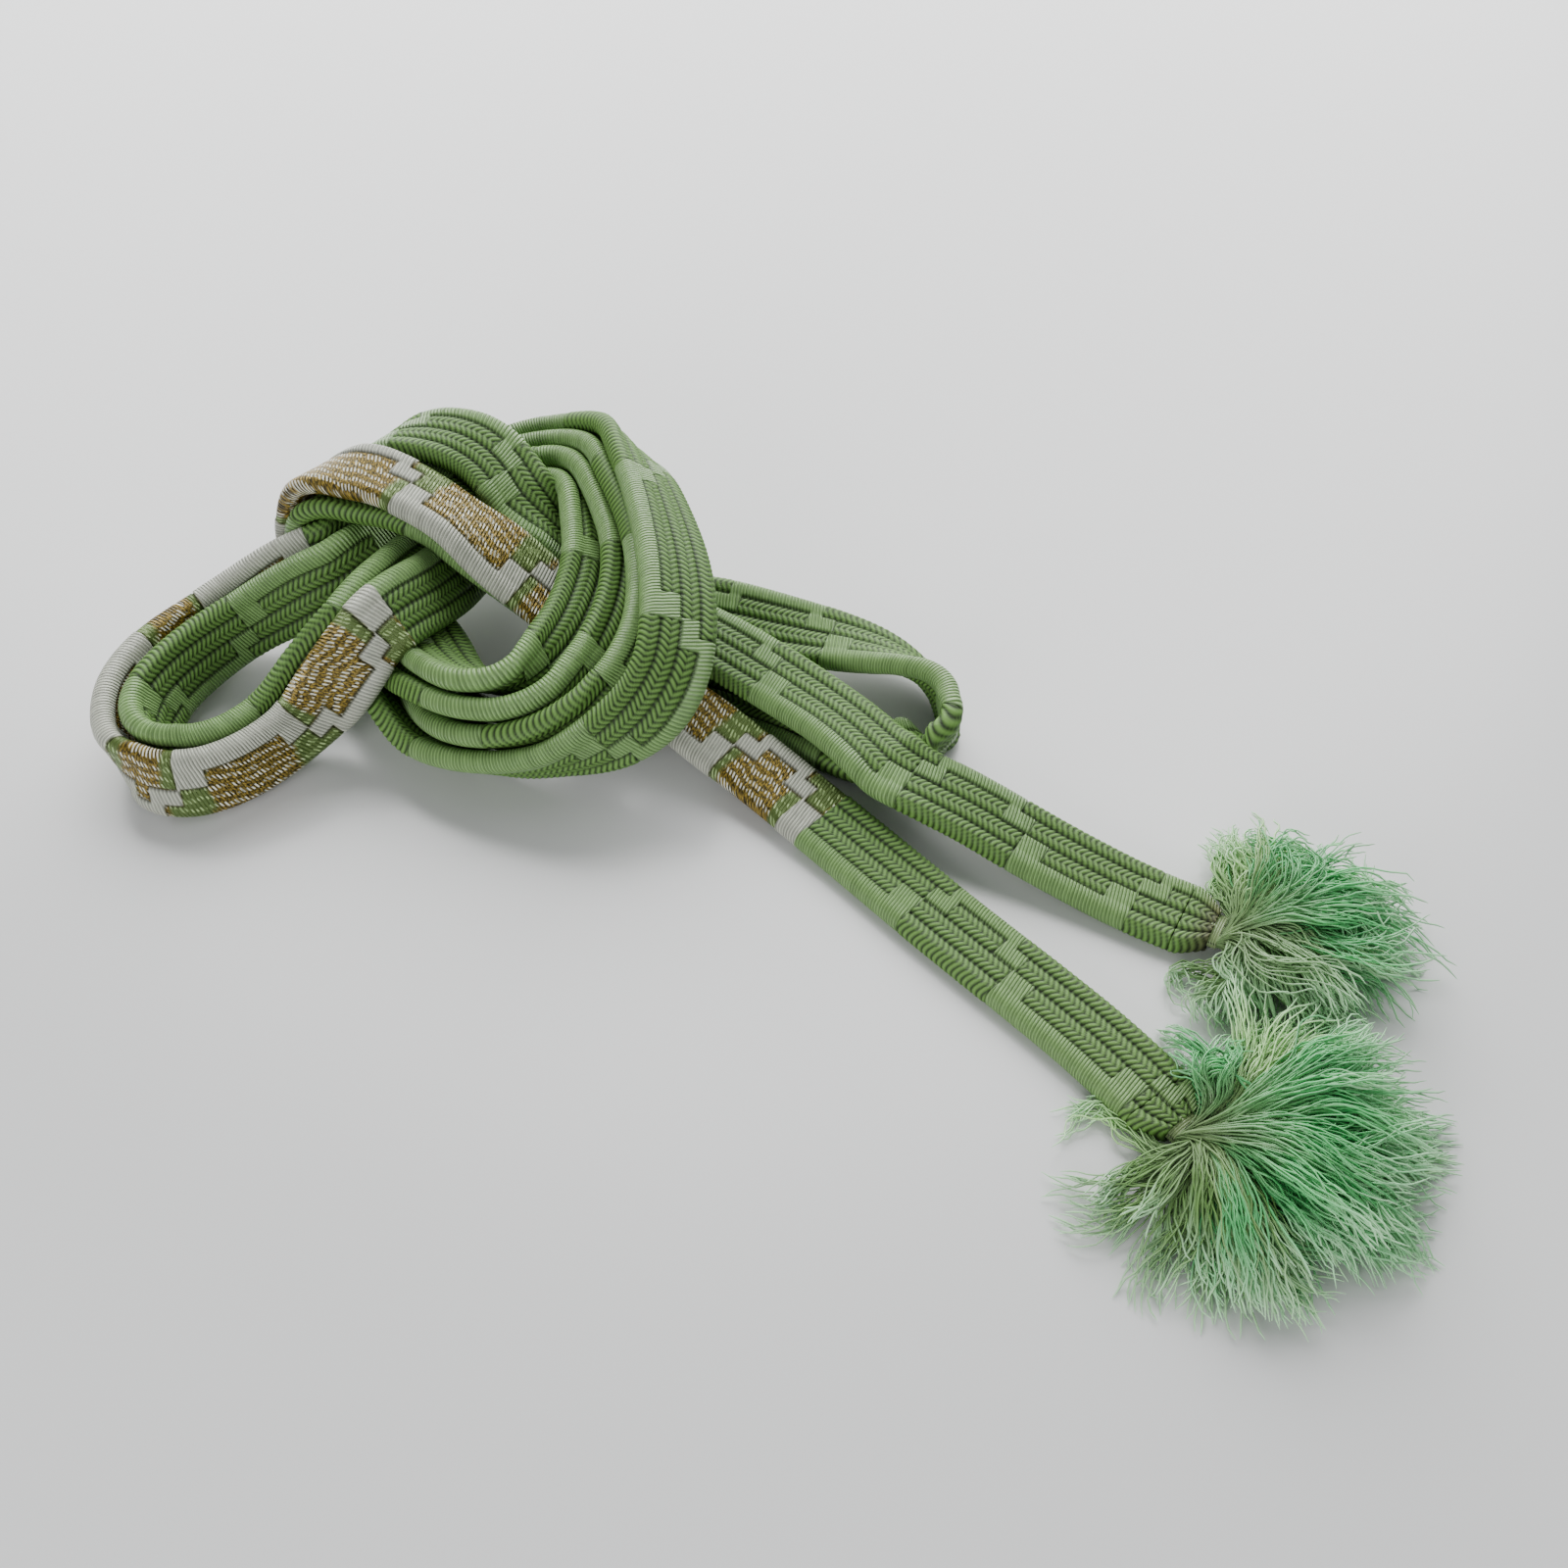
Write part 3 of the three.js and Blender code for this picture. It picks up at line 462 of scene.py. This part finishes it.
def silk_material():
    m, tree, bsdf = new_material("braided_silk")
    along, across = attribute_of(tree, "along_mm"), attribute_of(tree, "across_mm")
    thread, gold = attribute_of(tree, "thread"), attribute_of(tree, "gold")
    leaf, wrap, groove_shade = attribute_of(tree, "leaf"), attribute_of(tree, "wrap_mm"), attribute_of(tree, "groove_shade")
    colour_and_painted_light = attribute_of(tree, "colour_and_painted_light", "Color")
    round_mm = 4 * (WIDTH / 2 - EDGE_ROUND) + 2 * math.pi * EDGE_ROUND

    # Satin: fine parallel threads, the sine ridge painting light and shade along each thread and the noise varying
    # the threads' tone.
    slant = maths(tree, "ADD", along, maths(tree, "MULTIPLY", wrap, 12 * 0.43 / round_mm))
    ridge = maths(tree, "SINE", maths(tree, "MULTIPLY", slant, 2 * math.pi / 0.43))
    fine = streaks(tree, slant, across, 2.3, 0.30)
    line = maths(tree, "ADD", 0.80, maths(tree, "MULTIPLY", ridge, 0.27))
    shade = maths(tree, "ADD", line, maths(tree, "MULTIPLY", maths(tree, "SUBTRACT", fine, 0.5), 0.7))
    shaded = mix_colour(tree, maths(tree, "MULTIPLY", thread, 0.9), (1, 1, 1), shade)
    plain = mix_colour(tree, 1.0, colour_and_painted_light, shaded, "MULTIPLY")

    # Brocade: white floats in rows over metal threads, going green beside the stairs.
    slope = maths(tree, "ADD", along, maths(tree, "MULTIPLY", wrap, 18 * 0.50 / round_mm))
    weft = maths(tree, "SINE", maths(tree, "MULTIPLY", slope, 2 * math.pi / 0.50))
    drift = streaks(tree, slope, across, 0.30, 0.10, 1.0)
    patch = maths(tree, "SUBTRACT", streaks(tree, slope, across, 1.3, 0.7, 2.0), 0.5)
    rows = maths(tree, "ADD", maths(tree, "MULTIPLY", across, 2 * math.pi / 1.5),
                 maths(tree, "ADD", maths(tree, "MULTIPLY", slope, 0.55), maths(tree, "MULTIPLY", drift, 9.0)))
    uneven = maths(tree, "ADD", maths(tree, "SINE", rows), maths(tree, "MULTIPLY", patch, 6.0))
    floats = ramp(tree, uneven, 0.05, 0.55)
    raised = ramp(tree, weft, -0.15, 0.35)
    # Painted glints: the metal threads' colour runs from dark brown to bright gold with streak noise.
    glint = streaks(tree, slope, across, 5.0, 2.6, 3.0)
    metal = mix_colour(tree, ramp(tree, glint, 0.42, 0.68), (0.040, 0.032, 0.007), (0.50, 0.345, 0.055))
    under = mix_colour(tree, ramp(tree, maths(tree, "ADD", leaf, drift), 0.95, 1.15), metal, OLIVE)
    leafy = ramp(tree, maths(tree, "ADD", leaf, drift), 0.95, 1.15)
    pale = mix_colour(tree, leafy, (0.95, 0.95, 0.80), (0.46, 0.64, 0.26))
    shown = maths(tree, "MULTIPLY", floats, raised)
    brocade = mix_colour(tree, shown, under, pale)
    base = mix_colour(tree, gold, plain, brocade)
    # Painted shade: the brocade's seams and creases are darkened towards near black.
    gap_shade = maths(tree, "MINIMUM", maths(tree, "MULTIPLY", groove_shade, gold), 0.85)
    base = mix_colour(tree, gap_shade, base, (0.03, 0.025, 0.01))
    tree.links.new(base, bsdf.inputs["Base Color"])
    shine = maths(tree, "MULTIPLY", gold, maths(tree, "SUBTRACT", 1.0, shown))
    tree.links.new(maths(tree, "MULTIPLY", shine, 0.25), bsdf.inputs["Metallic"])
    rough = maths(tree, "SUBTRACT", 0.60, maths(tree, "MULTIPLY", thread, 0.26))
    tree.links.new(rough, bsdf.inputs["Roughness"])
    bsdf.inputs["Specular IOR Level"].default_value = 0.34
    bump = tree.nodes.new("ShaderNodeBump")
    bump.inputs["Strength"].default_value = 0.8
    bump.inputs["Distance"].default_value = 0.00014
    satin_height = maths(tree, "MULTIPLY", maths(tree, "ADD", ridge, fine), thread)
    brocade_height = maths(tree, "MULTIPLY", maths(tree, "MULTIPLY", shown, gold), 2.5)
    height = maths(tree, "ADD", satin_height, brocade_height)
    grain = maths(tree, "MULTIPLY", streaks(tree, along, across, 6.0, 4.0), 0.8)
    tree.links.new(maths(tree, "ADD", height, grain), bump.inputs["Height"])
    tree.links.new(bump.outputs[0], bsdf.inputs["Normal"])
    return m


def fringe_material():
    m, tree, bsdf = new_material("fringe_silk")
    tree.links.new(attribute_of(tree, "colour_and_painted_light", "Color"), bsdf.inputs["Base Color"])
    bsdf.inputs["Roughness"].default_value = 0.38
    bsdf.inputs["Sheen Weight"].default_value = 0.1
    return m


def table_material():
    m, tree, bsdf = new_material("table_top")
    bsdf.inputs["Base Color"].default_value = (0.72, 0.725, 0.725, 1)
    bsdf.inputs["Roughness"].default_value = 0.24
    bsdf.inputs["Specular IOR Level"].default_value = 0.5
    return m


SILK, FRINGE, TABLE_TOP = silk_material(), fringe_material(), table_material()

# ---------------------------------------------------------------- camera, table and light
AIM = Vector((0.00363, 0.01332, 0))
ELEVATION, DISTANCE = math.radians(50), 0.244
camera_data = bpy.data.cameras.new("main_camera")
camera_data.sensor_width = 36
camera_data.lens = 45
camera = bpy.data.objects.new("main_camera", camera_data)
camera.location = AIM + DISTANCE * Vector((0, -math.cos(ELEVATION), math.sin(ELEVATION)))
camera.rotation_euler = (math.pi / 2 - ELEVATION, 0, 0)
bpy.context.scene.collection.objects.link(camera)
bpy.context.scene.camera = camera

bpy.ops.mesh.primitive_plane_add(size=6)
table_top = bpy.context.object
table_top.name = "table_top"
table_top.data.materials.append(TABLE_TOP)


def area_light(name, at, size, power, colour=(1, 1, 1)):
    data = bpy.data.lights.new(name, "AREA")
    data.shape = "DISK"
    data.size = size
    data.energy = power
    data.color = colour
    light = bpy.data.objects.new(name, data)
    light.location = at
    light.rotation_euler = (Vector((0, 0, 0)) - Vector(at)).to_track_quat("-Z", "Y").to_euler()
    bpy.context.scene.collection.objects.link(light)


area_light("window", (-0.01, 0.54, 0.34), 0.80, 11.0)
area_light("side", (0.45, 0.20, 0.42), 0.40, 0.8)
area_light("fill", (-0.22, -0.40, 0.16), 0.35, 1.7)
world = bpy.data.worlds.new("room")
world.use_nodes = True
world.node_tree.nodes["Background"].inputs[0].default_value = (0.95, 0.98, 1, 1)
world.node_tree.nodes["Background"].inputs[1].default_value = 0.26
bpy.context.scene.world = world

# ---------------------------------------------------------------- the cord
rings_p, rings_w, STARTS, COUNT = lay_route()
rings_p, rings_w = settle(rings_p, rings_w)
rings_p = smooth(rings_p, 1) - CENTRE
knots = np.arange(len(rings_p), dtype=float)
fine_p, fine_w = hermite(rings_p, knots, SUB), hermite(rings_w, knots, SUB)
fine_s = lengths(fine_p)

PIECES = [("tail_a", "over_a"), ("turn_a", "coil_a"), ("inner_loop_far", "inner_loop_near"), ("coil_b", "turn_b"),
          ("under_b", "right_loop_near"), ("right_loop_far", "under_c"), ("turn_c", "coil_c"),
          ("outer_loop_near", "outer_loop_far"), ("coil_d", "turn_d"), ("over_d", "tail_b")]
for i, pair in enumerate(PIECES):
    lo = STARTS[pair[0]] * SUB
    hi = STARTS[PIECES[i + 1][0]] * SUB if i + 1 < len(PIECES) else COUNT * SUB
    p, w, s = fine_p[lo:hi + 1], fine_w[lo:hi + 1], fine_s[lo:hi + 1]
    stretch = braid_mesh("braid_" + pair[0], p, w, s)
    stretch.data.materials.append(SILK)
    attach(stretch, "root")
    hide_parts(*pair)

# ---------------------------------------------------------------- necks and tassels
END_LENGTH, TIE_LENGTH = 3.9, 1.4
END_BROWN = np.array([0.150, 0.165, 0.070])


def end_pieces(letter, tip, tip_w, out, s_end, onward):
    """The end of the braid, drawn in, and the thread tied round it."""
    d = np.linspace(0.12, END_LENGTH, 28)
    narrow = 1 - 0.48 * np.clip((d - 0.6) / (END_LENGTH - 0.6), 0, 1) ** 1.3
    p = tip + d[:, None] * out
    colour = END_BROWN if letter == "a" else None
    across = np.repeat(tip_w[None], len(d), 0)
    s = s_end + (onward * d)[::onward]
    end = braid_mesh("end_braid_" + letter, p[::onward], across, s, colour, narrow[::onward])
    end.data.materials.append(SILK)
    wrap = []
    for k in range(5):
        centre = tip + (END_LENGTH - 0.3 + 0.3 * k) * out
        g = np.linspace(0, 2 * np.pi, 33)
        n = np.cross(out, tip_w)
        wrap.append(centre + 2.2 * np.cos(g)[:, None] * tip_w + 1.0 * np.sin(g)[:, None] * n)
    tie = thread_mesh("end_tie_" + letter, wrap, [0.19] * 5, [(0.22, 0.30, 0.13)] * 5, 8)
    for obj, part in ((end, "end_braid_"), (tie, "end_tie_")):
        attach(obj, "root")
        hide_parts(part + letter)
    tie.data.materials.append(FRINGE)


def thread_mesh(name, lines, radii, colours, sides=3):
    """Many thin tubes as one mesh: lines are lists of points in millimetres."""
    count, steps = len(lines), len(lines[0])
    pts = np.array(lines, float)
    t = np.gradient(pts, axis=1)
    t /= np.linalg.norm(t, axis=2)[..., None] + 1e-12
    ref = np.where(np.abs(t[..., 2:3]) > 0.9, np.array([1.0, 0, 0]), np.array([0, 0, 1.0]))
    a = np.cross(t, ref)
    a /= np.linalg.norm(a, axis=2)[..., None] + 1e-12
    b = np.cross(t, a)
    g = np.arange(sides) / sides * 2 * np.pi
    thin = np.ones(steps)
    thin[-1] = 0.35
    r = (np.array(radii)[:, None] * thin[None])[..., None, None]
    cos_g, sin_g = np.cos(g)[None, None, :, None], np.sin(g)[None, None, :, None]
    co = pts[:, :, None] + r * (cos_g * a[:, :, None] + sin_g * b[:, :, None])
    f, i, k = np.meshgrid(np.arange(count), np.arange(steps - 1), np.arange(sides), indexing="ij")
    base = (f * steps + i) * sides
    k2 = (k + 1) % sides
    quads = np.stack([base + k, base + k2, base + sides + k2, base + sides + k], -1).reshape(-1, 4)
    mesh = bpy.data.meshes.new(name)
    mesh.from_pydata((co.reshape(-1, 3) * MM).tolist(), [], quads.tolist())
    mesh.update()
    colour_and_painted_light = mesh.attributes.new("colour_and_painted_light", "FLOAT_COLOR", "POINT")
    rgb = np.array(colours, float)
    rgb = np.repeat(rgb if rgb.ndim == 3 else np.repeat(rgb[:, None], steps, 1), sides, 1)
    rgba = np.concatenate([rgb, np.ones(rgb.shape[:2] + (1,))], -1)
    colour_and_painted_light.data.foreach_set("color", rgba.ravel().astype(np.float32))
    mesh.polygons.foreach_set("use_smooth", [True] * len(mesh.polygons))
    obj = bpy.data.objects.new(name, mesh)
    bpy.context.scene.collection.objects.link(obj)
    return obj


def tassel_lines(neck, out, clumps, count, steps=22):
    """Silk threads fanning from a neck in locks.

    A clump is [heading, length, spread, height, share, curl, kind].
    """
    clumps = np.array(clumps, float)
    locks = count // 20
    c = clumps[rng.choice(len(clumps), locks, p=clumps[:, 4] / clumps[:, 4].sum())]
    which = rng.integers(0, locks, count)
    own = lambda lock, thread: lock[which] + thread
    heading = np.radians(own(c[:, 0] + c[:, 2] * rng.normal(0, 1, locks), rng.normal(0, 4.0, count)))
    reach = own(c[:, 1] * rng.uniform(0.66, 1.05, locks), 0) * rng.uniform(0.82, 1.05, count)
    f = np.linspace(0, 1, steps)[None]
    start = math.atan2(out[1], out[0])
    turn = (heading - start + np.pi) % (2 * np.pi) - np.pi
    way = start + turn[:, None] * np.clip(f / 0.30, 0, 1) ** 0.8
    curl = c[:, 5]
    for wave in (0.7, 1.5, 3.0, 6.0):
        phase = own(rng.uniform(0, 2 * np.pi, locks), rng.normal(0, 0.5, count))[:, None]
        size = own(curl * rng.normal(0, 1, locks) / wave**0.8, 0.12 * rng.normal(0, 1, count))[:, None]
        rate = own(wave * rng.uniform(0.7, 1.3, locks), 0)[:, None]
        way = way + size * np.sin(rate * 2 * np.pi * f + phase) * f ** 0.8
    ds = reach[:, None] / (steps - 1)
    x = np.cumsum(np.cos(way) * ds, axis=1) - (np.cos(way) * ds)[:, :1]
    y = np.cumsum(np.sin(way) * ds, axis=1) - (np.sin(way) * ds)[:, :1]
    side = rng.uniform(-1, 1, (count, 1))
    across = np.array([-out[1], out[0], 0])
    top = own(c[:, 3] * rng.uniform(0.05, 1, locks), rng.uniform(0, 1, count))[:, None]
    hump = np.sin(np.pi * np.clip(f * own(rng.uniform(0.62, 1.1, locks), 0)[:, None], 0, 1)) ** 0.7
    z = 0.25 + (neck[2] - 0.25) * (1 - f) ** 2 + top * hump
    z = z + 0.5 * side * (1 - f) * rng.uniform(-1, 1, (count, 1)) + rng.normal(0, 0.12, (count, steps)) * f
    pts = np.stack([neck[0] + x, neck[1] + y, np.maximum(z, 0.14)], -1)
    pts = pts + (2.0 * side * (1 - f) ** 2)[..., None] * across
    far = np.array(TIPS)[c[which, 6].astype(int)] * rng.uniform(0.75, 1.25, (count, 1))
    near = np.array(ROOT_GREEN) * rng.uniform(0.8, 1.2, (count, 1))
    share = np.clip((f - 0.12) / 0.5, 0, 1)[..., None]
    # Painted highlight: the outer third of each thread is blended towards near-white mint.
    tip_highlight = (0.9 * np.clip((f - 0.64) / 0.36, 0, 1) ** 1.5)[..., None]
    return pts, (near[:, None] * (1 - share) + far[:, None] * share) * (1 - tip_highlight) + np.array(TIP_HIGHLIGHT) * tip_highlight


def tassel(letter, neck, out, clumps, count):
    lines, thread_colours_and_highlights = tassel_lines(neck, out, clumps, count)
    radii = rng.uniform(0.085, 0.14, count)
    half = count // 2
    for k, part in enumerate((slice(0, half), slice(half, count))):
        obj = thread_mesh(f"tassel_{letter}_threads_{k + 1}", lines[part], radii[part], thread_colours_and_highlights[part])
        obj.data.materials.append(FRINGE)
        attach(obj, "root")
        if k == 0:
            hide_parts("tassel_" + letter)


# Thread colours at the neck, and at the tips: mint, pale grey-green, bright yellow-green, olive. The bright
# yellow-green on the top curls is a painted highlight, and the near-white blended into the tips is a painted
# highlight too.
ROOT_GREEN = (0.180, 0.290, 0.115)
TIP_HIGHLIGHT = (0.56, 0.92, 0.56)
TIPS = [(0.090, 0.500, 0.155), (0.215, 0.400, 0.165), (0.420, 0.720, 0.280), (0.150, 0.310, 0.080)]
CLUMPS_A = [[2, 25, 13, 7.5, 3.0, 0.40, 0], [-34, 21, 13, 6.0, 2.4, 0.40, 1], [-74, 15, 13, 4.0, 1.2, 0.45, 1],
            [36, 22, 13, 8.0, 2.0, 0.60, 0], [62, 19, 13, 7.5, 2.0, 0.9, 2], [-108, 18, 9, 2, 0.2, 0.8, 3],
            [110, 21, 8, 2.5, 0.2, 0.8, 2]]
CLUMPS_B = [[2, 29, 11, 9.0, 3.2, 0.35, 0], [-24, 27, 11, 8.5, 2.9, 0.35, 0], [26, 26, 12, 9.5, 2.4, 0.45, 0],
            [-56, 24, 12, 6.0, 1.8, 0.40, 0], [-84, 25, 11, 5.0, 1.8, 0.45, 3], [-110, 22, 13, 4.5, 1.5, 0.5, 3],
            [-149, 21, 8, 2.5, 0.5, 0.4, 3], [62, 25, 8, 6.0, 0.8, 0.5, 2], [74, 16, 10, 7, 0.9, 0.6, 0],
            [150, 20, 8, 3.5, 0.10, 0.8, 2], [-9, 39, 3, 2, 0.02, 0.3, 1]]


def unit(v):
    return v / np.linalg.norm(v)


for letter, index, inner, clumps, count in (("a", 0, 6, CLUMPS_A, 2500), ("b", -1, -7, CLUMPS_B, 3050)):
    tip, tip_w = fine_p[index], fine_w[index]
    out = unit((tip - fine_p[inner]) * np.array([1, 1, 0]))
    tip_w = unit(tip_w - tip_w @ out * out)
    end_pieces(letter, tip, tip_w, out, fine_s[index], 1 if letter == "b" else -1)
    neck = tip + (END_LENGTH + TIE_LENGTH - 0.6) * out
    tassel(letter, neck, out, clumps, count)
